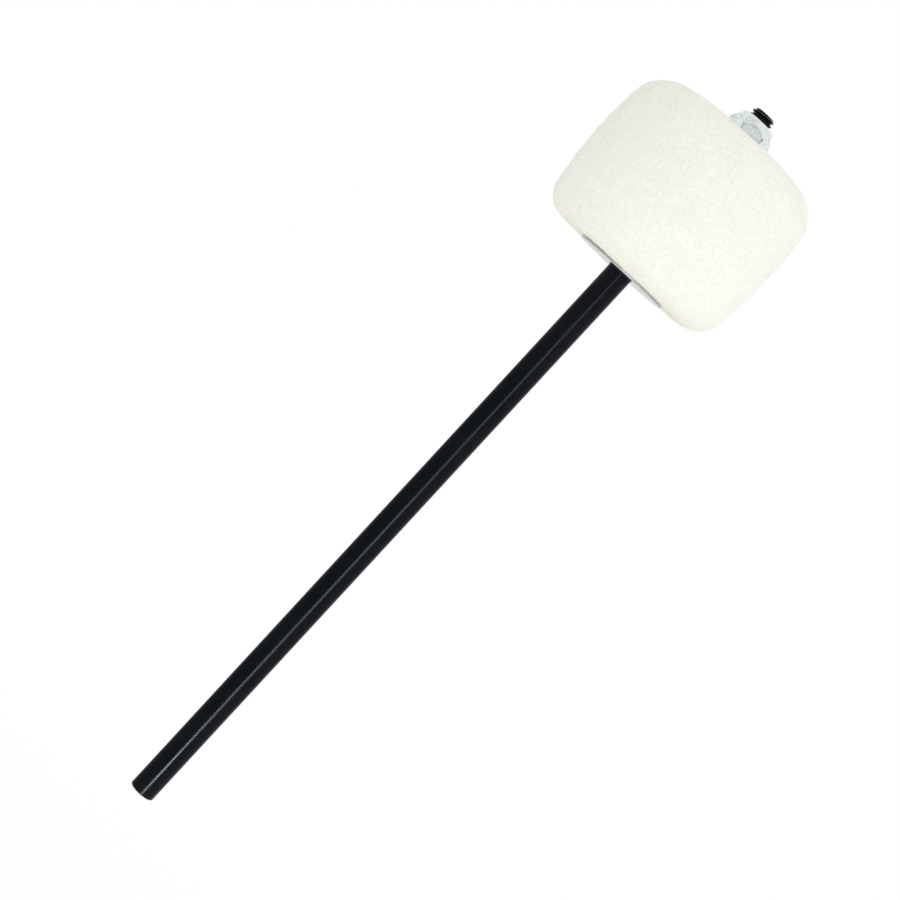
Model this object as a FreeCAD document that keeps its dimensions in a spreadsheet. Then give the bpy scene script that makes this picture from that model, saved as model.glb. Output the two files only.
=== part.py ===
import FreeCAD, Part
import os
import Sketcher

# Bass drum beater: a round steel rod with its upper end turned down to a threaded stud.
# A pressed-felt head sits on the stud between two wide washers, squeezed by a nylon-insert lock nut.
# The frame is upright: +Z runs up the rod, and the origin is the middle of the rod's lower end.

doc = FreeCAD.newDocument("bass_drum_beater")

# Driving sizes, in millimetres, degrees and counts
DRIVING_SIZES = (
    ("shaft_diameter", 6.35, "rod that a pedal's clamp grips"),
    ("shaft_length", 162.1, "lower end of the rod to its shoulder"),
    ("tip_chamfer", 0.3, "broken edge at the rod's lower end"),
    ("shoulder_step", 0.2, "rod's wall in to the stud's wall"),
    ("shoulder_lip", 0.15, "upset edge of the shoulder, out from the rod's wall"),
    ("shoulder_lip_height", 0.6, "upset edge of the shoulder, along the rod"),
    ("stud_chamfer", 0.6, "lead-in at the end of the stud"),
    ("stud_protrusion", 2.1, "end of the stud above the nut"),
    ("thread_pitch", 1, "rise of the thread in one turn"),
    ("thread_flank", 30, "slope of a thread flank"),
    ("thread_phase", 0.7, "a crest's height above the nut's foot, on the +X side"),
    ("thread_turns", 11, "turns of thread below the nut's foot"),
    ("thread_clearance", 0.05, "nut's thread to the stud's thread"),
    ("thread_overcut", 0.06, "how far a thread's cut runs past the metal"),
    ("bore_clearance", 0.05, "radial room of washers and insert on the stud"),
    ("washer_diameter", 24, "both washers"),
    ("washer_thickness", 1.2, "both washers"),
    ("washer_edge", 0.2, "rolled-over edge of a punched washer"),
    ("washer_hub", 12, "flat middle of a washer"),
    ("washer_bend", 0.45, "a washer's rim bent away from the felt that it squeezes"),
    ("felt_diameter", 51.1, "felt at its widest"),
    ("felt_height", 37.1, "felt between the two washers, squeezed"),
    ("felt_widest", 20.7, "widest place, above the lower washer"),
    ("felt_side_radius", 113, "barrel curve of the felt's side"),
    ("felt_top_rise", 1.55, "felt swelling up round the upper washer"),
    ("felt_bottom_drop", 1.05, "felt swelling down round the lower washer"),
    ("felt_top_corner", 9.1, "rounding at the top"),
    ("felt_bottom_corner", 6.2, "rounding at the bottom"),
    ("felt_washer_gap", 0.3, "seat in the felt, past a washer's rim"),
    ("felt_seat_clearance", 0.1, "felt to a washer's bent rim"),
    ("felt_dish", 2.1, "slope from a washer's seat out to the crown"),
    ("felt_crown", 0.5, "least level ring between the slope and the rounding"),
    ("felt_bore_clearance", 0.15, "radial room of the felt on the stud"),
    ("nut_flats", 10, "nut across its flats"),
    ("nut_corner_height", 2.75, "where the nut's domed shoulder meets its corners"),
    ("nut_shoulder", 62, "slope of the nut's domed shoulder"),
    ("nut_chamfer", 30, "slope of the nut's foot chamfer"),
    ("nut_foot_chamfer", 0.4, "broken corners at the nut's foot"),
    ("nut_countersink", 0.2, "mouth of the nut's thread, out from the stud's wall"),
    ("nut_corner_angle", 5.4, "direction of a nut corner from +X"),
    ("nut_thread_height", 4, "threaded part of the nut, under the ring"),
    ("insert_height", 1.3, "nylon ring"),
    ("insert_wall", 0.85, "nylon ring"),
    ("insert_clearance", 0.02, "nylon ring in its recess"),
    ("collar_wall", 1.1, "nut's collar outside the ring, at its foot"),
    ("collar_taper", 0.9, "how far the collar leans in at its top"),
    ("lip_thickness", 0.7, "lip that is rolled in over the ring"),
    ("lip_reach", 0.5, "lip that is rolled in over the ring"),
    ("lip_rounding", 1.3, "outer rounding of the rolled lip"),
    ("lip_flat", 0.05, "least level ring on top of the lip"),
    ("cut_margin", 0.5, "how far a turned cut runs past the metal"),
)

# Sizes and levels that follow from the driving sizes
DERIVED_SIZES = (
    ("stud_radius", "=shaft_diameter / 2 - shoulder_step"),
    ("bore_radius", "=stud_radius + bore_clearance"),
    ("thread_height", "=thread_pitch / (2 * tan(thread_flank))"),
    ("thread_depth", "=17 / 24 * thread_height"),
    ("crest_width", "=thread_pitch / 8"),
    ("root_width", "=thread_pitch - crest_width - 2 * thread_depth * tan(thread_flank)"),
    ("nut_thread_radius", "=stud_radius - 5 / 8 * thread_height"),
    ("nut_corner_radius", "=nut_flats / (2 * cos(30))"),
    ("nut_foot_radius", "=nut_corner_radius - nut_foot_chamfer / tan(nut_chamfer)"),
    ("insert_radius", "=bore_radius + insert_wall"),
    ("recess_radius", "=insert_radius + insert_clearance"),
    ("collar_radius", "=recess_radius + collar_wall"),
    ("collar_foot", "=nut_corner_height + (nut_corner_radius - collar_radius) * tan(nut_shoulder)"),
    ("opening_radius", "=insert_radius - lip_reach"),
    ("lip_level", "=nut_thread_height + insert_height"),
    ("nut_height", "=lip_level + lip_thickness"),
    ("lip_radius", "=collar_radius - collar_taper"),
    ("rolled_rounding", "=min(lip_rounding; lip_radius - opening_radius - lip_flat)"),
    ("hub_radius", "=washer_hub / 2"),
    ("rim_radius", "=washer_diameter / 2 - washer_edge"),
    ("seat_radius", "=washer_diameter / 2 + felt_washer_gap"),
    ("seat_bend", "=washer_bend * (seat_radius - hub_radius) / (rim_radius - hub_radius)"),
    ("crown_radius", "=seat_radius + felt_dish"),
    ("felt_low", "=-felt_bottom_drop"),
    ("felt_high", "=felt_height + felt_top_rise"),
    ("barrel_centre", "=felt_diameter / 2 - felt_side_radius"),
    ("low_radius", "=barrel_centre + sqrt(felt_side_radius ^ 2 - (felt_widest - felt_low) ^ 2)"),
    ("high_radius", "=barrel_centre + sqrt(felt_side_radius ^ 2 - (felt_high - felt_widest) ^ 2)"),
    ("low_rounding", "=min(felt_bottom_corner; low_radius - crown_radius - felt_crown)"),
    ("high_rounding", "=min(felt_top_corner; high_radius - crown_radius - felt_crown)"),
    ("felt_level", "=shaft_length + washer_thickness"),
    ("upper_washer_level", "=felt_level + felt_height"),
    ("nut_level", "=upper_washer_level + washer_thickness"),
    ("stud_end", "=nut_level + nut_height + stud_protrusion"),
    ("thread_start", "=nut_level + thread_phase - thread_pitch * (thread_turns + 1 / 2)"),
)

sheet = doc.addObject("Spreadsheet::Sheet", "sizes")
for row, (alias, value, meaning) in enumerate(DRIVING_SIZES, start=1):
    sheet.set(f"A{row}", alias)
    sheet.set(f"B{row}", str(value))
    sheet.set(f"C{row}", meaning)
    sheet.setAlias(f"B{row}", alias)
for row, (alias, formula) in enumerate(DERIVED_SIZES, start=len(DRIVING_SIZES) + 1):
    sheet.set(f"A{row}", alias)
    sheet.set(f"B{row}", formula)
    sheet.setAlias(f"B{row}", alias)
doc.recompute()

FULL_TURN = 360
HEXAGON_STEP = 60
SAME_PLACE = 0.0001
ON_AXIS = "0"


def bound(expression):
    """An expression in which each $word stands for that size on the sheet."""
    return expression.replace("$", "sizes.")


def worked_out(expression):
    """The number that an expression comes to now."""
    return float(sheet.evalExpression(bound(expression)))


def add_body(name, level=None):
    """A sub-part's body, standing at a level of the sheet."""
    body = doc.addObject("PartDesign::Body", name)
    body.Label = name
    if level:
        body.setExpression("Placement.Base.z", bound(level))
    return body


def add_sketch(body, name, role):
    """A sketch on one of the body's own origin planes."""
    planes = [feature for feature in body.Origin.OriginFeatures if feature.Role == role]
    sketch = body.newObject("Sketcher::SketchObject", name)
    sketch.AttachmentSupport = [(planes[0], "")]
    sketch.MapMode = "FlatFace"
    return sketch


def add_dimension(sketch, constraint, expression):
    """A dimension of a sketch, bound to an expression."""
    place = sketch.addConstraint(constraint)
    sketch.setExpression(f"Constraints[{place}]", bound(expression))


def outward_arc(start, end, radius):
    """The arc from start to end that bulges away from the axis, for an outline that runs anticlockwise."""
    half_chord = (end - start) / 2
    outward = FreeCAD.Vector(half_chord.y, -half_chord.x, 0).normalize()
    rise = radius - (radius ** 2 - half_chord.Length ** 2) ** 0.5
    return Part.Arc(start, start + half_chord + outward * rise, end)


def draw_outline(sketch, corners, arc_edge=None, arc_radius=None):
    """A closed outline whose corners are pairs of expressions; the edge after corner arc_edge may be an arc."""
    points = [FreeCAD.Vector(worked_out(across), worked_out(along), 0) for across, along in corners]
    for edge, start in enumerate(points):
        end = points[(edge + 1) % len(points)]
        if edge == arc_edge:
            sketch.addGeometry(outward_arc(start, end, worked_out(arc_radius)), False)
        else:
            sketch.addGeometry(Part.LineSegment(start, end), False)
    for edge, (across, along) in enumerate(corners):
        sketch.addConstraint(Sketcher.Constraint("Coincident", edge, 2, (edge + 1) % len(points), 1))
        for kind, expression, axis in (("DistanceX", across, -2), ("DistanceY", along, -1)):
            if expression == ON_AXIS:
                sketch.addConstraint(Sketcher.Constraint("PointOnObject", edge, 1, axis))
            else:
                distance = Sketcher.Constraint(kind, -1, 1, edge, 1, worked_out(expression))
                add_dimension(sketch, distance, expression)
    if arc_radius:
        add_dimension(sketch, Sketcher.Constraint("Radius", arc_edge, worked_out(arc_radius)), arc_radius)


def add_turned(body, name, corners, kind="PartDesign::Revolution", arc_edge=None, arc_radius=None):
    """A turned solid, or a turned cut, about the body's Z axis."""
    sketch = add_sketch(body, f"{name}_outline", "XZ_Plane")
    draw_outline(sketch, corners, arc_edge, arc_radius)
    feature = body.newObject(kind, name)
    feature.Profile = sketch
    feature.ReferenceAxis = (sketch, ["V_Axis"])
    feature.Angle = FULL_TURN
    return feature


def add_thread(body, name, corners, height):
    """A right-hand helical groove about the body's Z axis."""
    sketch = add_sketch(body, f"{name}_outline", "XZ_Plane")
    draw_outline(sketch, corners)
    feature = body.newObject("PartDesign::SubtractiveHelix", name)
    feature.Profile = sketch
    feature.ReferenceAxis = (sketch, ["V_Axis"])
    feature.Mode = "pitch-height-angle"
    feature.setExpression("Pitch", bound("$thread_pitch"))
    feature.setExpression("Height", bound(height))
    return feature


def add_rounding(body, name, base, edge_radius, level, rounding):
    """A fillet on the base feature's circular edge at one radius and level."""
    doc.recompute()
    edges = [
        f"Edge{number}"
        for number, edge in enumerate(base.Shape.Edges, start=1)
        if edge.Curve.TypeId == "Part::GeomCircle"
        and abs(edge.Curve.Radius - worked_out(edge_radius)) < SAME_PLACE
        and abs(edge.Curve.Center.z - worked_out(level)) < SAME_PLACE
    ]
    feature = body.newObject("PartDesign::Fillet", name)
    feature.Base = (base, edges)
    feature.setExpression("Radius", bound(rounding))
    return feature


def make_shaft():
    """The rod and its stud, one piece of steel; only the upper part of the stud is threaded."""
    body = add_body("shaft")
    rod = "$shaft_diameter / 2"
    lip = "$shaft_diameter / 2 + $shoulder_lip"
    stud = "$stud_radius"
    add_turned(body, "rod_and_stud", [
        (ON_AXIS, ON_AXIS),
        (f"{rod} - $tip_chamfer", ON_AXIS),
        (rod, "$tip_chamfer"),
        (rod, "$shaft_length - $shoulder_lip_height"),
        (lip, "$shaft_length - $shoulder_lip_height / 3"),
        (rod, "$shaft_length"),
        (stud, "$shaft_length"),
        (stud, "$stud_end - $stud_chamfer"),
        (f"{stud} - $stud_chamfer", "$stud_end"),
        (ON_AXIS, "$stud_end"),
    ])
    root = "$stud_radius - $thread_depth"
    outside = "$stud_radius + $thread_overcut"
    half_root = "$root_width / 2"
    half_mouth = "($root_width / 2 + ($thread_depth + $thread_overcut) * tan($thread_flank))"
    add_thread(body, "thread", [
        (root, f"$thread_start - {half_root}"),
        (outside, f"$thread_start - {half_mouth}"),
        (outside, f"$thread_start + {half_mouth}"),
        (root, f"$thread_start + {half_root}"),
    ], "$stud_end - $thread_start + $thread_pitch")
    return body


def make_washer(name, level, bend):
    """A wide punched steel washer with rolled-over edges, its rim bent a little by the felt that it squeezes."""
    body = add_body(name, level)
    rim = "$washer_diameter / 2"
    add_turned(body, "plate", [
        ("$bore_radius", ON_AXIS),
        ("$hub_radius", ON_AXIS),
        ("$rim_radius", bend),
        (rim, f"{bend} + $washer_edge"),
        (rim, f"{bend} + $washer_thickness - $washer_edge"),
        ("$rim_radius", f"{bend} + $washer_thickness"),
        ("$hub_radius", "$washer_thickness"),
        ("$bore_radius", "$washer_thickness"),
    ])
    return body


def make_felt_head():
    """The pressed-felt barrel, dished a little at both ends where the washers squeeze it."""
    body = add_body("felt_head", "$felt_level")
    bore = "$stud_radius + $felt_bore_clearance"
    barrel_side = 4
    barrel = add_turned(body, "barrel", [
        (bore, ON_AXIS),
        ("$hub_radius", ON_AXIS),
        ("$seat_radius", "$felt_seat_clearance - $seat_bend"),
        ("$crown_radius", "$felt_low"),
        ("$low_radius", "$felt_low"),
        ("$high_radius", "$felt_high"),
        ("$crown_radius", "$felt_high"),
        ("$seat_radius", "$felt_height + $seat_bend - $felt_seat_clearance"),
        ("$hub_radius", "$felt_height"),
        (bore, "$felt_height"),
    ], arc_edge=barrel_side, arc_radius="$felt_side_radius")
    rounded = add_rounding(body, "low_edge", barrel, "$low_radius", "$felt_low", "$low_rounding")
    add_rounding(body, "high_edge", rounded, "$high_radius", "$felt_high", "$high_rounding")
    return body


def make_lock_nut():
    """A zinc-plated hexagon nut whose round collar is rolled in over a nylon ring."""
    body = add_body("lock_nut", "$nut_level")
    hexagon = add_sketch(body, "hexagon", "XY_Plane")
    draw_outline(hexagon, [
        (f"$nut_corner_radius * cos($nut_corner_angle + {turn})",
         f"$nut_corner_radius * sin($nut_corner_angle + {turn})")
        for turn in range(0, FULL_TURN, HEXAGON_STEP)
    ])
    blank = body.newObject("PartDesign::Pad", "blank")
    blank.Profile = hexagon
    blank.setExpression("Length", bound("$nut_height"))
    corner = "$nut_corner_radius"
    beyond = "$nut_corner_radius + $cut_margin"
    add_turned(body, "collar", [
        (corner, "$nut_corner_height"),
        (beyond, "$nut_corner_height"),
        (beyond, "$nut_height + $cut_margin"),
        ("$lip_radius", "$nut_height + $cut_margin"),
        ("$lip_radius", "$nut_height"),
        ("$collar_radius", "$collar_foot"),
    ], kind="PartDesign::Groove")
    add_turned(body, "foot_chamfer", [
        ("$nut_foot_radius", ON_AXIS),
        ("$nut_foot_radius", "-$cut_margin"),
        (beyond, "-$cut_margin"),
        (beyond, "$nut_foot_chamfer"),
        (corner, "$nut_foot_chamfer"),
    ], kind="PartDesign::Groove")
    bored = add_turned(body, "bore", [
        (ON_AXIS, ON_AXIS),
        ("$stud_radius + $nut_countersink", ON_AXIS),
        ("$nut_thread_radius", "$stud_radius + $nut_countersink - $nut_thread_radius"),
        ("$nut_thread_radius", "$nut_thread_height"),
        ("$recess_radius", "$nut_thread_height"),
        ("$recess_radius", "$lip_level"),
        ("$opening_radius", "$lip_level"),
        ("$opening_radius", "$nut_height"),
        (ON_AXIS, "$nut_height"),
    ], kind="PartDesign::Groove")
    add_rounding(body, "rolled_lip", bored, "$lip_radius", "$nut_height", "$rolled_rounding")
    first_turn = "$thread_phase - $thread_pitch"
    root = "$stud_radius + $thread_clearance"
    inside = "$nut_thread_radius - $thread_overcut"
    half_root = "($crest_width / 2 + $thread_clearance / cos($thread_flank))"
    half_mouth = f"({half_root} + ({root} - ({inside})) * tan($thread_flank))"
    add_thread(body, "nut_thread", [
        (inside, f"{first_turn} - {half_mouth}"),
        (root, f"{first_turn} - {half_root}"),
        (root, f"{first_turn} + {half_root}"),
        (inside, f"{first_turn} + {half_mouth}"),
    ], "$nut_thread_height + 2 * $thread_pitch")
    return body


def make_nut_insert():
    """The nylon ring that grips the stud's thread and keeps the nut from working loose."""
    body = add_body("nut_insert", "$nut_level")
    add_turned(body, "ring", [
        ("$bore_radius", "$nut_thread_height"),
        ("$insert_radius", "$nut_thread_height"),
        ("$insert_radius", "$lip_level"),
        ("$bore_radius", "$lip_level"),
    ])
    return body


PIECES = (
    make_shaft(),
    make_washer("lower_washer", "$shaft_length", "-$washer_bend"),
    make_felt_head(),
    make_washer("upper_washer", "$upper_washer_level", "$washer_bend"),
    make_lock_nut(),
    make_nut_insert(),
)
doc.recompute()

# Nothing is written unless every feature and every piece is sound
for item in doc.Objects:
    if "Invalid" in item.State or "Error" in item.State:
        raise RuntimeError(f"{item.Label} failed: {item.State}")
for piece in PIECES:
    if piece.Shape.isNull() or not piece.Shape.isValid() or len(piece.Shape.Solids) != 1:
        raise RuntimeError(f"{piece.Label} is not one sound solid")

os.makedirs("parts", exist_ok=True)
for piece in PIECES:
    piece.Shape.exportStep(f"parts/{piece.Label}.step")
    print(piece.Label, round(piece.Shape.Volume, 3), "mm3")
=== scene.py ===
import math

import bpy
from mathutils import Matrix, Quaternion, Vector, noise


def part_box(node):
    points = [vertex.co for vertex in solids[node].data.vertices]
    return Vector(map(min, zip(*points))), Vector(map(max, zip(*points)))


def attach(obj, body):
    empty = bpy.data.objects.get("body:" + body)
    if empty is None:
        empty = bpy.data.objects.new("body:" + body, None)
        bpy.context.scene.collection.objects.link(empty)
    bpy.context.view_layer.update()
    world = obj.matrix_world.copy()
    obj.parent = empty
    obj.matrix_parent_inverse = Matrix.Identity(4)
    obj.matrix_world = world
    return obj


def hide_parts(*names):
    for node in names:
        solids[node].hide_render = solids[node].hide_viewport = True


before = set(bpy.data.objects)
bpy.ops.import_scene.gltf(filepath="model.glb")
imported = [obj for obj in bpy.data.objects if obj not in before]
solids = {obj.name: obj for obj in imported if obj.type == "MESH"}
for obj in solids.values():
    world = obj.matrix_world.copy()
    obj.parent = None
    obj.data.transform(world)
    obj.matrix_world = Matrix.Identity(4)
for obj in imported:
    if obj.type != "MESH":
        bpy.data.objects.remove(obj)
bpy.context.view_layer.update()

# Rod
# A round steel rod in glossy black enamel. Its upper end is turned down to a right-hand threaded stud.
# The nut has rubbed the enamel thin along the thread's crests, so a little brown-grey steel shows there.
MILLIMETRE = 0.001
ENAMEL_FINISH = {"Specular IOR Level": 0.16}
ENAMEL_BLACK = (0.0014, 0.0026, 0.0045, 1)
ENAMEL_DEEP = (0.0026, 0.0039, 0.006, 1)
RUBBED_STEEL = (0.05, 0.044, 0.04, 1)
ENAMEL_ROUGHNESS = (0.15, 0.22)
ENAMEL_PEEL_SIZE = 1.4 * MILLIMETRE
ENAMEL_PEEL_RELIEF = 0.002 * MILLIMETRE
ENAMEL_CLOUD_SIZE = 9 * MILLIMETRE
STUD_RADIUS = 2.975 * MILLIMETRE
CREST_DEPTH = 0.16 * MILLIMETRE
RUB_SIZE = 0.7 * MILLIMETRE
RUB_FADE = 1 * MILLIMETRE
NUT_FOOT_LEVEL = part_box("lock_nut")[0].z
# Most of a grain's values lie in its core, and nearly all of them in its span.
GRAIN_CORE = (0.35, 0.65)
GRAIN_SPAN = (0.3, 0.7)
# The mix node's colour sockets go by number, because several of its sockets share a name.
MIX_FIRST_COLOUR = 6
MIX_SECOND_COLOUR = 7
MIX_RESULT_COLOUR = 2


def add_node(tree, kind, inputs=None, **settings):
    """A node with its settings; each input is a plain value or the output that feeds it."""
    node = tree.nodes.new(kind)
    for name, value in settings.items():
        setattr(node, name, value)
    for socket, value in (inputs or {}).items():
        if isinstance(value, bpy.types.NodeSocket):
            tree.links.new(value, node.inputs[socket])
        else:
            node.inputs[socket].default_value = value
    return node


def start_finish(name, constants):
    """A material with constants set on its one shader, and the piece's own coordinates to build on."""
    material = bpy.data.materials.new(name)
    material.use_nodes = True
    tree = material.node_tree
    shader = tree.nodes["Principled BSDF"]
    for socket, value in constants.items():
        shader.inputs[socket].default_value = value
    place = add_node(tree, "ShaderNodeTexCoord").outputs["Object"]
    return material, tree, shader, place


def add_grain(tree, place, size, detail=2, stretch=None, turn=(0, 0, 0)):
    """Noise with grains of about one size, drawn out along an axis where its stretch is under 1."""
    if stretch:
        place = add_node(
            tree, "ShaderNodeMapping", {"Vector": place, "Rotation": turn, "Scale": stretch}
        ).outputs["Vector"]
    return add_node(
        tree, "ShaderNodeTexNoise", {"Vector": place, "Scale": 1 / size, "Detail": detail}
    ).outputs["Fac"]


def remap(tree, value, low, high, to_low=0.0, to_high=1.0):
    """A value spread from one range to another, and held at its ends."""
    return add_node(
        tree, "ShaderNodeMapRange",
        {"Value": value, "From Min": low, "From Max": high, "To Min": to_low, "To Max": to_high},
    ).outputs["Result"]


def combine(tree, operation, first, second):
    """Two values put together by one operation, such as their product or the larger of them."""
    return add_node(tree, "ShaderNodeMath", {0: first, 1: second}, operation=operation).outputs["Value"]


def mix_colours(tree, share, first, second):
    """The first colour, with a share of the second over it."""
    return add_node(
        tree, "ShaderNodeMix",
        {"Factor": share, MIX_FIRST_COLOUR: first, MIX_SECOND_COLOUR: second},
        data_type="RGBA",
    ).outputs[MIX_RESULT_COLOUR]


def add_relief(tree, shader, height, depth):
    """Bumps of a real depth on the shader's surface."""
    bump = add_node(tree, "ShaderNodeBump", {"Height": height, "Distance": depth})
    tree.links.new(bump.outputs["Normal"], shader.inputs["Normal"])


def distance_from_axis(tree, place):
    """How far a point lies from the rod's axis."""
    flat = add_node(
        tree, "ShaderNodeVectorMath", {0: place, 1: (1, 1, 0)}, operation="MULTIPLY"
    ).outputs["Vector"]
    return add_node(tree, "ShaderNodeVectorMath", {0: flat}, operation="LENGTH").outputs["Value"]


def upward_part(tree, vector):
    """A point's level along the rod's axis, or how far a direction points up it."""
    return add_node(tree, "ShaderNodeSeparateXYZ", {"Vector": vector}).outputs["Z"]


def dress(node_name, material):
    """Gives a solid its finish."""
    for material_slot in solids[node_name].material_slots:
        material_slot.material = material


enamel, tree, shader, place = start_finish("black_enamel", ENAMEL_FINISH)
cloud = add_grain(tree, place, ENAMEL_CLOUD_SIZE, detail=3)
on_crest = remap(tree, distance_from_axis(tree, place), STUD_RADIUS - CREST_DEPTH, STUD_RADIUS)
above_felt = remap(tree, upward_part(tree, place), NUT_FOOT_LEVEL - RUB_FADE, NUT_FOOT_LEVEL)
rub = remap(tree, add_grain(tree, place, RUB_SIZE, detail=4), *GRAIN_CORE)
bared = combine(tree, "MULTIPLY", combine(tree, "MULTIPLY", on_crest, above_felt), rub)
black = mix_colours(tree, cloud, ENAMEL_BLACK, ENAMEL_DEEP)
tree.links.new(mix_colours(tree, bared, black, RUBBED_STEEL), shader.inputs["Base Color"])
tree.links.new(remap(tree, cloud, *GRAIN_SPAN, *ENAMEL_ROUGHNESS), shader.inputs["Roughness"])
add_relief(tree, shader, add_grain(tree, place, ENAMEL_PEEL_SIZE, detail=1), ENAMEL_PEEL_RELIEF)
dress("shaft", enamel)

# Washers
# Two wide washers, punched from rolled steel strip and barrel-plated with zinc.
# One sits on the rod's shoulder and the other under the nut. Their faces keep the strip's rolling lines,
# and tumbling has scuffed them. A thin band at each rim is painted darker: dulled by tumbling, and
# painted shade at the rolled edge.
WASHER_FINISH = {"Metallic": 1.0}
WASHER_ZINC = (0.67, 0.675, 0.66, 1)
WASHER_SCUFFED_AND_SHADED = (0.58, 0.585, 0.57, 1)
WASHER_ROUGHNESS = (0.3, 0.46)
ROLLING_LINE_SIZE = 0.25 * MILLIMETRE
ROLLING_STRETCH = (0.03, 1, 1)
ROLLING_RELIEF = 0.006 * MILLIMETRE
SCUFF_SIZE = 2.2 * MILLIMETRE
SCUFF_RANGE = (0.5, 0.75)
SCUFF_DULLING = 0.6
SHADED_RIM_BAND = 0.35 * MILLIMETRE
RIM_SHADE_SHARE = 0.7
WASHER_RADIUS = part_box("lower_washer")[1].x

washer_zinc, tree, shader, place = start_finish("washer_zinc", WASHER_FINISH)
scuff = add_grain(tree, place, SCUFF_SIZE, detail=6)
lines = add_grain(tree, place, ROLLING_LINE_SIZE, detail=3, stretch=ROLLING_STRETCH)
# Painted shade: a thin band at the rim is painted darker, as the shade at the rolled edge.
rim_shade = remap(
    tree, distance_from_axis(tree, place), WASHER_RADIUS - SHADED_RIM_BAND, WASHER_RADIUS, 0, RIM_SHADE_SHARE
)
scuff_and_rim_shade = combine(tree, "MAXIMUM", rim_shade, remap(tree, scuff, *SCUFF_RANGE, 0, SCUFF_DULLING))
tree.links.new(mix_colours(tree, scuff_and_rim_shade, WASHER_ZINC, WASHER_SCUFFED_AND_SHADED), shader.inputs["Base Color"])
tree.links.new(remap(tree, scuff, *GRAIN_SPAN, *WASHER_ROUGHNESS), shader.inputs["Roughness"])
add_relief(tree, shader, combine(tree, "ADD", lines, scuff), ROLLING_RELIEF)
for washer in ("lower_washer", "upper_washer"):
    dress(washer, washer_zinc)

# Felt head
# A barrel of pressed cream-white wool felt, cut round and slipped over the stud between the washers.
# The nut squeezes it, so it swells up round both washers, and its cut side has a short matted nap.
FELT_STEP = 0.45 * MILLIMETRE
FELT_SEAT_STEP = 4 * FELT_STEP
FELT_SPOKES = 380
FELT_SIDE_RADIUS = 113 * MILLIMETRE
FELT_TOP_CORNER = 9.1 * MILLIMETRE
FELT_BOTTOM_CORNER = 6.2 * MILLIMETRE
FELT_WIDEST = 20.7 * MILLIMETRE
FELT_BORE = 3.125 * MILLIMETRE
FELT_HUB = 6 * MILLIMETRE
FELT_SEAT_GAP = 0.3 * MILLIMETRE
FELT_SEAT_BEND = 0.38 * MILLIMETRE
FELT_DISH = 2.1 * MILLIMETRE
FELT_SOFTENINGS = 2
FELT_SOFTENING_SHARE = 0.5
OUT_OF_ROUND = 0.25 * MILLIMETRE
FELT_LUMPS = (
    (11 * MILLIMETRE, 0.16 * MILLIMETRE),
    (3 * MILLIMETRE, 0.06 * MILLIMETRE),
    (1.1 * MILLIMETRE, 0.05 * MILLIMETRE),
)

felt_low_corner, felt_high_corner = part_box("felt_head")
felt_radius = felt_high_corner.x
felt_low = felt_low_corner.z
felt_high = felt_high_corner.z
seat_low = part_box("lower_washer")[1].z
seat_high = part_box("upper_washer")[0].z
seat_radius = WASHER_RADIUS + FELT_SEAT_GAP
crown_radius = seat_radius + FELT_DISH
barrel_middle = Vector((felt_radius - FELT_SIDE_RADIUS, seat_low + FELT_WIDEST))


def corner_centre(rounding, level):
    """The middle of a corner's rounding, which meets the barrel's curved side smoothly."""
    reach = FELT_SIDE_RADIUS - rounding
    return Vector((barrel_middle.x + math.sqrt(reach ** 2 - (level - barrel_middle.y) ** 2), level))


def arc(middle, radius, start, end):
    """Points along an arc, from one direction to another, a step apart."""
    count = max(2, round(abs(end - start) * radius / FELT_STEP))
    turns = [start + (end - start) * index / count for index in range(count + 1)]
    return [middle + radius * Vector((math.cos(turn), math.sin(turn))) for turn in turns]


def straight(start, end, step):
    """Points from start up to, and without, the end of a straight run."""
    count = max(1, round((end - start).length / step))
    return [start.lerp(end, index / count) for index in range(count)]


low_middle = corner_centre(FELT_BOTTOM_CORNER, felt_low + FELT_BOTTOM_CORNER)
high_middle = corner_centre(FELT_TOP_CORNER, felt_high - FELT_TOP_CORNER)
low_turn = math.atan2(low_middle.y - barrel_middle.y, low_middle.x - barrel_middle.x)
high_turn = math.atan2(high_middle.y - barrel_middle.y, high_middle.x - barrel_middle.x)
low_rim = Vector((seat_radius, seat_low - FELT_SEAT_BEND))
high_rim = Vector((seat_radius, seat_high + FELT_SEAT_BEND))
under_seat = (
    straight(Vector((FELT_BORE, seat_low)), Vector((FELT_HUB, seat_low)), FELT_SEAT_STEP)
    + straight(Vector((FELT_HUB, seat_low)), low_rim, FELT_SEAT_STEP)
)
shown_outline = (
    straight(low_rim, Vector((crown_radius, felt_low)), FELT_STEP)
    + straight(Vector((crown_radius, felt_low)), Vector((low_middle.x, felt_low)), FELT_STEP)
    + arc(low_middle, FELT_BOTTOM_CORNER, -math.pi / 2, low_turn)
    + arc(barrel_middle, FELT_SIDE_RADIUS, low_turn, high_turn)[1:]
    + arc(high_middle, FELT_TOP_CORNER, high_turn, math.pi / 2)[1:-1]
    + straight(Vector((high_middle.x, felt_high)), Vector((crown_radius, felt_high)), FELT_STEP)
    + straight(Vector((crown_radius, felt_high)), high_rim, FELT_STEP)
)
over_seat = (
    straight(high_rim, Vector((FELT_HUB, seat_high)), FELT_SEAT_STEP)
    + straight(Vector((FELT_HUB, seat_high)), Vector((FELT_BORE, seat_high)), FELT_SEAT_STEP)
    + [Vector((FELT_BORE, seat_high))]
)
for softening in range(FELT_SOFTENINGS):
    before = [point.copy() for point in shown_outline]
    for index in range(1, len(before) - 1):
        between = (before[index - 1] + before[index + 1]) / 2
        shown_outline[index] = before[index].lerp(between, FELT_SOFTENING_SHARE)
outline = under_seat + shown_outline + over_seat

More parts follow.
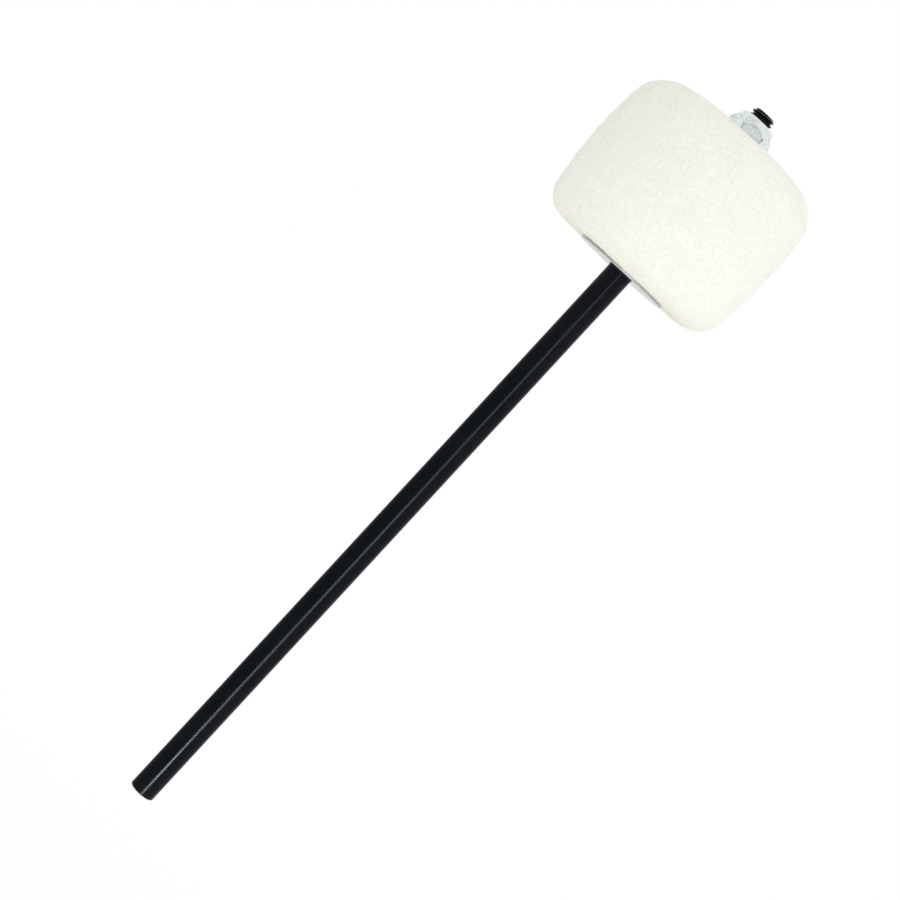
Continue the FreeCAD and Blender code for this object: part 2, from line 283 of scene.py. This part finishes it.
felt_points = []
felt_nap = []
for index, point in enumerate(outline):
    run = outline[min(index + 1, len(outline) - 1)] - outline[max(index - 1, 0)]
    outward = Vector((run.y, -run.x)).normalized()
    free = min(1, max(0, (point.x - seat_radius) / FELT_DISH))
    for spoke in range(FELT_SPOKES):
        turn = 2 * math.pi * spoke / FELT_SPOKES
        across = Vector((math.cos(turn), math.sin(turn), 0))
        rest = across * point.x + Vector((0, 0, point.y))
        swell = -OUT_OF_ROUND * across.x * max(0, outward.x)
        for size, height in FELT_LUMPS:
            swell += height * noise.noise(rest / size)
        felt_points.append(rest + free * swell * (across * outward.x + Vector((0, 0, outward.y))))
        felt_nap.append(free)
felt_faces = []
for ring in range(len(outline)):
    next_ring = (ring + 1) % len(outline)
    for spoke in range(FELT_SPOKES):
        next_spoke = (spoke + 1) % FELT_SPOKES
        felt_faces.append((
            ring * FELT_SPOKES + spoke,
            ring * FELT_SPOKES + next_spoke,
            next_ring * FELT_SPOKES + next_spoke,
            next_ring * FELT_SPOKES + spoke,
        ))
felt_mesh = bpy.data.meshes.new("felt_barrel")
felt_mesh.from_pydata(felt_points, [], felt_faces)
felt_mesh.polygons.foreach_set("use_smooth", [True] * len(felt_faces))
felt_mesh.attributes.new("nap", "FLOAT", "POINT").data.foreach_set("value", felt_nap)
felt_mesh.update()
felt = bpy.data.objects.new("felt_barrel", felt_mesh)
bpy.context.scene.collection.objects.link(felt)

WOOL_FINISH = {
    "Roughness": 0.95, "Specular IOR Level": 0.15, "Sheen Weight": 0.2, "Sheen Roughness": 0.5,
}
WOOL_CREAM = (0.93, 0.92, 0.83, 1)
WOOL_WHITE = (0.935, 0.94, 0.875, 1)
WOOL_WARM = (0.945, 0.915, 0.8, 1)
WOOL_SHADE = (0.82, 0.81, 0.71, 1)
WOOL_PATCH_SIZE = 6 * MILLIMETRE
WOOL_FLECK_SIZE = 0.6 * MILLIMETRE
WOOL_FLECK_RANGE = (0.38, 0.58)
WOOL_FLECK_SHADE = 0.45
WOOL_FIBRE_SIZE = 0.16 * MILLIMETRE
WOOL_FIBRE_STRETCH = (0.15, 1, 1)
WOOL_FIBRE_TURNS = ((0.2, 0.4, 0.3), (1.0, 0.3, 1.4), (0.5, 1.3, 2.3))
WOOL_RELIEF = 0.08 * MILLIMETRE
WARM_EDGE = 9 * MILLIMETRE
WARM_SHARE = 0.6
LAYER_SIZE = 0.5 * MILLIMETRE
LAYER_STRETCH = (0.06, 0.06, 1)
LAYER_RANGE = (0.3, 0.5)
LAYER_SHADE = 0.1


def make_wool(name, with_relief):
    """Cream wool with soft patches, flecks, pressed layers and a warmer lower edge, matted if asked."""
    material, tree, shader, place = start_finish(name, WOOL_FINISH)
    patch = remap(tree, add_grain(tree, place, WOOL_PATCH_SIZE, detail=4), *GRAIN_CORE)
    tone = mix_colours(tree, patch, WOOL_CREAM, WOOL_WHITE)
    warm = remap(tree, upward_part(tree, place), felt_low, felt_low + WARM_EDGE, WARM_SHARE, 0)
    tone = mix_colours(tree, warm, tone, WOOL_WARM)
    fleck = add_grain(tree, place, WOOL_FLECK_SIZE, detail=3)
    layers = add_grain(tree, place, LAYER_SIZE, stretch=LAYER_STRETCH)
    fleck_shade = remap(tree, fleck, *WOOL_FLECK_RANGE, WOOL_FLECK_SHADE, 0)
    layer_shade = remap(tree, layers, *LAYER_RANGE, LAYER_SHADE, 0)
    shaded = combine(tree, "ADD", fleck_shade, layer_shade)
    tree.links.new(mix_colours(tree, shaded, tone, WOOL_SHADE), shader.inputs["Base Color"])
    if with_relief:
        fibres = fleck
        for turn in WOOL_FIBRE_TURNS:
            strand = add_grain(tree, place, WOOL_FIBRE_SIZE, stretch=WOOL_FIBRE_STRETCH, turn=turn)
            fibres = combine(tree, "MAXIMUM", fibres, strand)
        add_relief(tree, shader, combine(tree, "ADD", fibres, layers), WOOL_RELIEF)
    return material


felt_mesh.materials.append(make_wool("pressed_wool", with_relief=True))
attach(felt, "head")
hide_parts("felt_head")

# Nap
# Loose ends of wool on the felt's skin: short matted fibres that lie on it, and a few that stand off it.
# They soften the head's edge; none grow under the washers, where the felt is pressed flat.
# Densities are fibres in a square metre, curl is a share of the length, and the rest are millimetres.
NAP_KINDS = (
    {
        "name": "felt_matted_nap", "density": 0.8e6, "length": 1.2, "thickness": 0.035,
        "curl": 0.3, "lift": 0.07, "tip": -0.02, "seed": 11,
    },
    {
        "name": "felt_loose_nap", "density": 0.4e6, "length": 0.8, "thickness": 0.025,
        "curl": 0.3, "lift": 0.1, "tip": 0.25, "seed": 23,
    },
)
NAP_SINK = 0.03 * MILLIMETRE
NAP_SHAPES = ((1, 1, 0.8), (-1, 0.7, 1.2), (0.35, 1.2, 0.5), (-0.4, 0.9, 1.5))
NAP_SCALES = (0.6, 1.35)
NAP_SIDES = 3
NAP_BENDS = 3
# The random node has numbered sockets for the least and the most value and the result of each kind.
RANDOM_SOCKETS = {"FLOAT": (2, 3, 1), "INT": (4, 5, 2)}
nap_wool = make_wool("nap_wool", with_relief=False)


def random_value(tree, kind, least, most, seed):
    """A number drawn for each fibre."""
    least_socket, most_socket, result_socket = RANDOM_SOCKETS[kind]
    return add_node(
        tree, "FunctionNodeRandomValue",
        {least_socket: least, most_socket: most, "Seed": seed},
        data_type=kind,
    ).outputs[result_socket]


def build_nap_tree():
    """Scatters curled fibres over a surface, turned every way, more where its nap attribute is high."""
    tree = bpy.data.node_groups.new("felt_nap", "GeometryNodeTree")
    tree.interface.new_socket("Surface", in_out="INPUT", socket_type="NodeSocketGeometry")
    for name in ("Density", "Length", "Thickness", "Curl", "Lift", "Tip"):
        tree.interface.new_socket(name, in_out="INPUT", socket_type="NodeSocketFloat")
    tree.interface.new_socket("Seed", in_out="INPUT", socket_type="NodeSocketInt")
    tree.interface.new_socket("Wool", in_out="INPUT", socket_type="NodeSocketMaterial")
    tree.interface.new_socket("Fibres", in_out="OUTPUT", socket_type="NodeSocketGeometry")
    given = tree.nodes.new("NodeGroupInput").outputs

    nap_share = add_node(
        tree, "GeometryNodeInputNamedAttribute", {"Name": "nap"}, data_type="FLOAT"
    ).outputs["Attribute"]
    density = combine(tree, "MULTIPLY", given["Density"], nap_share)
    roots = add_node(
        tree, "GeometryNodeDistributePointsOnFaces",
        {"Mesh": given["Surface"], "Density": density, "Seed": given["Seed"]},
        distribute_method="RANDOM",
    ).outputs

    half_length = combine(tree, "MULTIPLY", given["Length"], 0.5)
    half_thickness = combine(tree, "MULTIPLY", given["Thickness"], 0.5)
    full_curl = combine(tree, "MULTIPLY", given["Length"], given["Curl"])
    section = add_node(
        tree, "GeometryNodeCurvePrimitiveCircle", {"Resolution": NAP_SIDES, "Radius": half_thickness}
    ).outputs["Curve"]
    root = add_node(
        tree, "ShaderNodeCombineXYZ", {"X": combine(tree, "MULTIPLY", half_length, -1), "Z": -NAP_SINK}
    ).outputs["Vector"]
    shapes = add_node(tree, "GeometryNodeJoinGeometry")
    for curl_share, lift_share, tip_share in NAP_SHAPES:
        bend = add_node(
            tree, "ShaderNodeCombineXYZ",
            {
                "Y": combine(tree, "MULTIPLY", full_curl, curl_share),
                "Z": combine(tree, "MULTIPLY", given["Lift"], lift_share),
            },
        ).outputs["Vector"]
        tip = add_node(
            tree, "ShaderNodeCombineXYZ",
            {"X": half_length, "Z": combine(tree, "MULTIPLY", given["Tip"], tip_share)},
        ).outputs["Vector"]
        strand = add_node(
            tree, "GeometryNodeCurveQuadraticBezier",
            {"Resolution": NAP_BENDS, "Start": root, "Middle": bend, "End": tip},
        ).outputs["Curve"]
        fibre = add_node(
            tree, "GeometryNodeCurveToMesh",
            {"Curve": strand, "Profile Curve": section, "Fill Caps": True},
        ).outputs["Mesh"]
        loose = add_node(tree, "GeometryNodeGeometryToInstance", {"Geometry": fibre}).outputs["Instances"]
        tree.links.new(loose, shapes.inputs["Geometry"])

    spin = random_value(tree, "FLOAT", 0.0, 2 * math.pi, given["Seed"])
    upright_spin = add_node(tree, "ShaderNodeCombineXYZ", {"Z": spin}).outputs["Vector"]
    spun = add_node(tree, "FunctionNodeEulerToRotation", {"Euler": upright_spin}).outputs["Rotation"]
    turned = add_node(
        tree, "FunctionNodeRotateRotation",
        {"Rotation": roots["Rotation"], "Rotate By": spun},
        rotation_space="LOCAL",
    ).outputs["Rotation"]
    scale = random_value(tree, "FLOAT", *NAP_SCALES, combine(tree, "ADD", given["Seed"], 1))
    choice = random_value(tree, "INT", 0, len(NAP_SHAPES) - 1, combine(tree, "ADD", given["Seed"], 2))
    placed = add_node(
        tree, "GeometryNodeInstanceOnPoints",
        {
            "Points": roots["Points"], "Instance": shapes.outputs["Geometry"], "Pick Instance": True,
            "Instance Index": choice, "Rotation": turned, "Scale": scale,
        },
    ).outputs["Instances"]
    real = add_node(tree, "GeometryNodeRealizeInstances", {"Geometry": placed}).outputs["Geometry"]
    dressed = add_node(
        tree, "GeometryNodeSetMaterial", {"Geometry": real, "Material": given["Wool"]}
    ).outputs["Geometry"]
    add_node(tree, "NodeGroupOutput", {"Fibres": dressed})
    return tree


nap_tree = build_nap_tree()
nap_sockets = {
    item.name: item.identifier for item in nap_tree.interface.items_tree if item.in_out == "INPUT"
}
for kind in NAP_KINDS:
    nap = bpy.data.objects.new(kind["name"], felt_mesh.copy())
    bpy.context.scene.collection.objects.link(nap)
    growth = nap.modifiers.new("nap", "NODES")
    growth.node_group = nap_tree
    growth[nap_sockets["Density"]] = kind["density"]
    growth[nap_sockets["Length"]] = kind["length"] * MILLIMETRE
    growth[nap_sockets["Thickness"]] = kind["thickness"] * MILLIMETRE
    growth[nap_sockets["Curl"]] = kind["curl"]
    growth[nap_sockets["Lift"]] = kind["lift"] * MILLIMETRE
    growth[nap_sockets["Tip"]] = kind["tip"] * MILLIMETRE
    growth[nap_sockets["Seed"]] = kind["seed"]
    growth[nap_sockets["Wool"]] = nap_wool
    graph = bpy.context.evaluated_depsgraph_get()
    grown = bpy.data.meshes.new_from_object(nap.evaluated_get(graph), depsgraph=graph)
    nap.modifiers.clear()
    nap.data = grown
    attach(nap, "head")

# Lock nut
# A steel hexagon nut with a domed shoulder and a rolled-in collar, zinc-plated to a cold blue-white.
# The plating shines unevenly, with thin green tints and dull scuffs.
# Painted shade darkens the shoulder's arched edge over each flat and the tops of the corners, broken up
# by the scuff grain.
NUT_FINISH = {"Metallic": 1.0}
NUT_ZINC = (0.78, 0.84, 0.85, 1)
NUT_GREEN = (0.75, 0.84, 0.79, 1)
NUT_DULL = (0.5, 0.54, 0.55, 1)
NUT_EDGE_SHADE = (0.2, 0.22, 0.23, 1)
NUT_ROUGHNESS = (0.12, 0.26)
TINT_SIZE = 3 * MILLIMETRE
NUT_SCUFF_SIZE = 1.1 * MILLIMETRE
NUT_SCUFF_RANGE = (0.5, 0.7)
NUT_SCUFF_DULLING = 0.5
NUT_RELIEF = 0.02 * MILLIMETRE
NUT_CORNER_RADIUS = 5.774 * MILLIMETRE
NUT_CORNER_HEIGHT = 2.75 * MILLIMETRE
NUT_SHOULDER_SLOPE = math.tan(math.radians(62))
NUT_CORNER_LEVEL = NUT_FOOT_LEVEL + NUT_CORNER_HEIGHT
EDGE_SHADE_BAND = 0.3 * MILLIMETRE
EDGE_SHADE_SHARE = 0.55
UPRIGHT_RANGE = (0.2, 0.5)
CORNER_SHADE_BAND = 0.36 * MILLIMETRE
CORNER_SHADE_HEIGHT = 0.8 * MILLIMETRE
CORNER_SHADE_LEAST = 0.2
SHADE_BREAKUP_RANGE = (0.35, 0.55)
SHADE_BREAKUP_LEAST = 0.5

nut_zinc, tree, shader, place = start_finish("nut_zinc", NUT_FINISH)
tint = remap(tree, add_grain(tree, place, TINT_SIZE, detail=3), *GRAIN_CORE)
nut_scuff = add_grain(tree, place, NUT_SCUFF_SIZE, detail=5)
nut_dulled = remap(tree, nut_scuff, *NUT_SCUFF_RANGE, 0, NUT_SCUFF_DULLING)
plating = mix_colours(tree, tint, NUT_ZINC, NUT_GREEN)
plating = mix_colours(tree, nut_dulled, plating, NUT_DULL)
# Painted shade: the shoulder's arched edge over each flat and the corner tops are painted darker, patchy
# with the scuff grain.
in_from_corner = combine(tree, "SUBTRACT", NUT_CORNER_RADIUS, distance_from_axis(tree, place))
edge_rise = combine(tree, "MULTIPLY", in_from_corner, NUT_SHOULDER_SLOPE)
above_corner = combine(tree, "SUBTRACT", upward_part(tree, place), NUT_CORNER_LEVEL)
from_edge = combine(tree, "ABSOLUTE", combine(tree, "SUBTRACT", above_corner, edge_rise), 0)
face_normal = add_node(tree, "ShaderNodeNewGeometry").outputs["True Normal"]
upright = remap(tree, upward_part(tree, face_normal), *UPRIGHT_RANGE, 1, 0)
shade_at_edge = combine(tree, "MULTIPLY", remap(tree, from_edge, 0, EDGE_SHADE_BAND, EDGE_SHADE_SHARE, 0), upright)
shade_at_corner = combine(
    tree, "MULTIPLY",
    remap(tree, in_from_corner, 0, CORNER_SHADE_BAND, 1, 0),
    remap(tree, from_edge, 0, CORNER_SHADE_HEIGHT, 1, CORNER_SHADE_LEAST),
)
shade_breakup = remap(tree, nut_scuff, *SHADE_BREAKUP_RANGE, SHADE_BREAKUP_LEAST, 1)
painted_edge_shade = combine(tree, "MULTIPLY", combine(tree, "MAXIMUM", shade_at_edge, shade_at_corner), shade_breakup)
tree.links.new(mix_colours(tree, painted_edge_shade, plating, NUT_EDGE_SHADE), shader.inputs["Base Color"])
tree.links.new(remap(tree, nut_scuff, *GRAIN_SPAN, *NUT_ROUGHNESS), shader.inputs["Roughness"])
add_relief(tree, shader, nut_scuff, NUT_RELIEF)
dress("lock_nut", nut_zinc)

# Nylon ring
# A ring of natural nylon in the nut's collar. It grips the thread and keeps the nut from working loose.
# It is moulded, milky and a little waxy, with faint flow marks.
NYLON_FINISH = {"Roughness": 0.42, "IOR": 1.53}
NYLON_MILKY = (0.74, 0.73, 0.66, 1)
NYLON_CLEAR = (0.66, 0.65, 0.57, 1)
FLOW_SIZE = 1.2 * MILLIMETRE
FLOW_STRETCH = (1, 1, 0.3)
NYLON_RELIEF = 0.01 * MILLIMETRE

nylon, tree, shader, place = start_finish("natural_nylon", NYLON_FINISH)
flow = add_grain(tree, place, FLOW_SIZE, detail=3, stretch=FLOW_STRETCH)
tree.links.new(mix_colours(tree, flow, NYLON_MILKY, NYLON_CLEAR), shader.inputs["Base Color"])
add_relief(tree, shader, flow, NYLON_RELIEF)
dress("nut_insert", nylon)

# Floor and light
# A round white sheet in a white room, which is dim in front of it and beside it, less so on the right.
# Three cool strip lamps with grids, each weaker than the one below it, draw the bright line on the rod.
# Soft boxes light the beater from the upper right and from the right behind it, and weakly from below.
FLOOR_LEVEL = -0.13
FLOOR_RADIUS = 0.5
FLOOR_SIDES = 64
FLOOR_FINISH = {"Base Color": (0.93, 0.93, 0.92, 1), "Roughness": 0.9}
FLOOR_GLOW = (0.85, 1.0)
FLOOR_FADE = (0.15, 0.5)
ROOM_WHITE = (1, 1, 1, 1)
FULL_WHITE = 1.0
ROOM_SHADE = (0.26, 0.265, 0.28, 1)
ROOM_RIGHT_SHADE = (0.5, 0.5, 0.53, 1)
ROOM_RIGHT = (0.2, 0.7)
ROOM_WALL_EDGE = (0.7, 0.95)
ROOM_SIDE_HEIGHT = (0.03, 0.09)
ROOM_FRONT = (-0.9, 0.1)
ROOM_FRONT_HEIGHT = (-0.05, 0.17)
ROOM_LEFT = (-0.3, 0.1)
ROOM_LEFT_SHADE = 0.35
ROOM_TABLE_EDGE = (-0.42, -0.3)
AMBIENT = 0.9

floor_points = []
for side in range(FLOOR_SIDES):
    turn = 2 * math.pi * side / FLOOR_SIDES
    floor_points.append((FLOOR_RADIUS * math.cos(turn), FLOOR_RADIUS * math.sin(turn), FLOOR_LEVEL))
floor_mesh = bpy.data.meshes.new("floor")
floor_mesh.from_pydata(floor_points, [], [range(FLOOR_SIDES)])
floor = bpy.data.objects.new("floor", floor_mesh)
bpy.context.scene.collection.objects.link(floor)
floor_sheet, tree, shader, place = start_finish("white_sheet", FLOOR_FINISH)
glow = add_node(tree, "ShaderNodeEmission", {"Color": ROOM_WHITE, "Strength": FULL_WHITE})
seen = add_node(tree, "ShaderNodeLightPath").outputs["Is Camera Ray"]
fade = remap(tree, distance_from_axis(tree, place), *FLOOR_FADE, *FLOOR_GLOW)
sheet = add_node(
    tree, "ShaderNodeMixShader",
    {
        "Fac": combine(tree, "MULTIPLY", seen, fade),
        1: shader.outputs["BSDF"],
        2: glow.outputs["Emission"],
    },
)
tree.links.new(sheet.outputs["Shader"], tree.nodes["Material Output"].inputs["Surface"])
floor_mesh.materials.append(floor_sheet)

room = bpy.data.worlds.new("white_room")
room.use_nodes = True
tree = room.node_tree
tree.nodes.clear()
rays = add_node(tree, "ShaderNodeLightPath").outputs
mirrored = combine(tree, "MAXIMUM", rays["Is Glossy Ray"], rays["Is Transmission Ray"])
around = add_node(tree, "ShaderNodeTexCoord").outputs["Generated"]
towards = add_node(tree, "ShaderNodeSeparateXYZ", {"Vector": around}).outputs
beside = combine(
    tree, "MULTIPLY",
    remap(tree, towards["Y"], *ROOM_WALL_EDGE, 1, 0),
    remap(tree, towards["Z"], *ROOM_SIDE_HEIGHT, 1, 0),
)
in_front = remap(tree, towards["Y"], *ROOM_FRONT, 1, 0)
low_front = combine(tree, "MULTIPLY", in_front, remap(tree, towards["Z"], *ROOM_FRONT_HEIGHT, 1, 0))
on_left = remap(tree, towards["X"], *ROOM_LEFT, ROOM_LEFT_SHADE, 0)
left_front = combine(tree, "MULTIPLY", in_front, on_left)
dim = combine(tree, "MAXIMUM", beside, combine(tree, "MAXIMUM", low_front, left_front))
dim = combine(tree, "MULTIPLY", dim, remap(tree, towards["Z"], *ROOM_TABLE_EDGE))
dim = combine(tree, "MULTIPLY", dim, mirrored)
on_right = remap(tree, towards["X"], *ROOM_RIGHT)
room_shade = mix_colours(tree, on_right, ROOM_SHADE, ROOM_RIGHT_SHADE)
wall_colour = mix_colours(tree, dim, ROOM_WHITE, room_shade)
walls = add_node(tree, "ShaderNodeBackground", {"Color": wall_colour, "Strength": FULL_WHITE})
ambient = add_node(tree, "ShaderNodeBackground", {"Color": ROOM_WHITE, "Strength": AMBIENT})
shows_walls = combine(tree, "MAXIMUM", rays["Is Camera Ray"], mirrored)
surroundings = add_node(
    tree, "ShaderNodeMixShader",
    {"Fac": shows_walls, 1: ambient.outputs["Background"], 2: walls.outputs["Background"]},
)
add_node(tree, "ShaderNodeOutputWorld", {"Surface": surroundings.outputs["Shader"]})
bpy.context.scene.world = room

STRIP_SIDE = 0.117
STRIP_FRONT = -0.48
STRIP_WIDTH = 0.12
BOX_SIZE = (0.6, 0.6)
HEAD_MIDDLE = (0, 0, 0.182)
COOL_LIGHT = (0.87, 0.92, 1)
PLAIN_LIGHT = (1, 1, 1)
GRID_SPREAD = math.radians(36)
SOFT_SPREAD = math.radians(180)
LAMPS = (
    {
        "name": "low_strip", "place": (STRIP_SIDE, STRIP_FRONT, -0.175), "aim": (0, 0, -0.02),
        "size": (STRIP_WIDTH, 0.15), "watts": 0.11,
        "colour": COOL_LIGHT, "spread": GRID_SPREAD, "mirrored": True,
    },
    {
        "name": "middle_strip", "place": (STRIP_SIDE, STRIP_FRONT, -0.025), "aim": (0, 0, 0.03),
        "size": (STRIP_WIDTH, 0.15), "watts": 0.017,
        "colour": COOL_LIGHT, "spread": GRID_SPREAD, "mirrored": True,
    },
    {
        "name": "high_strip", "place": (STRIP_SIDE, STRIP_FRONT, 0.11), "aim": (0, 0, 0.1),
        "size": (STRIP_WIDTH, 0.12), "watts": 0.0075,
        "colour": COOL_LIGHT, "spread": GRID_SPREAD, "mirrored": True,
    },
    {
        "name": "side_box", "place": (0.75, -0.55, 0.65), "aim": HEAD_MIDDLE,
        "size": BOX_SIZE, "watts": 1.0,
        "colour": PLAIN_LIGHT, "spread": SOFT_SPREAD, "mirrored": False,
    },
    {
        "name": "rim_box", "place": (0.95, 0.2, 0.43), "aim": HEAD_MIDDLE,
        "size": BOX_SIZE, "watts": 0.5,
        "colour": PLAIN_LIGHT, "spread": SOFT_SPREAD, "mirrored": False,
    },
    {
        "name": "low_box", "place": (0.1, -0.25, -0.12), "aim": HEAD_MIDDLE,
        "size": BOX_SIZE, "watts": 0.08,
        "colour": PLAIN_LIGHT, "spread": SOFT_SPREAD, "mirrored": False,
    },
)
for setting in LAMPS:
    light = bpy.data.lights.new(setting["name"], "AREA")
    light.shape = "RECTANGLE"
    light.size, light.size_y = setting["size"]
    light.energy = setting["watts"]
    light.color = setting["colour"]
    light.spread = setting["spread"]
    lamp = bpy.data.objects.new(setting["name"], light)
    lamp.location = setting["place"]
    lamp.rotation_mode = "QUATERNION"
    lamp.rotation_quaternion = (Vector(setting["aim"]) - lamp.location).to_track_quat("-Z", "Y")
    lamp.visible_camera = False
    lamp.visible_glossy = setting["mirrored"]
    bpy.context.scene.collection.objects.link(lamp)

# Camera
# It looks at the rod from 0.57 m, a little from above the rod's middle and so from just under the head.
# It is turned so that the head points up and to the right.
CAMERA_PLACE = Vector((-0.00108, -0.5733, 0.1401))
CAMERA_AIM = Vector((-0.00108, 0, 0.106))
CAMERA_ROLL = math.radians(42.69)
CAMERA_LENS = 101.05

camera_data = bpy.data.cameras.new("camera")
camera_data.lens = CAMERA_LENS
camera = bpy.data.objects.new("camera", camera_data)
camera.location = CAMERA_PLACE
camera.rotation_mode = "QUATERNION"
look = (CAMERA_AIM - CAMERA_PLACE).to_track_quat("-Z", "Y")
camera.rotation_quaternion = look @ Quaternion((0, 0, 1), CAMERA_ROLL)
bpy.context.scene.collection.objects.link(camera)
bpy.context.scene.camera = camera
bpy.context.scene.view_settings.view_transform = "Standard"
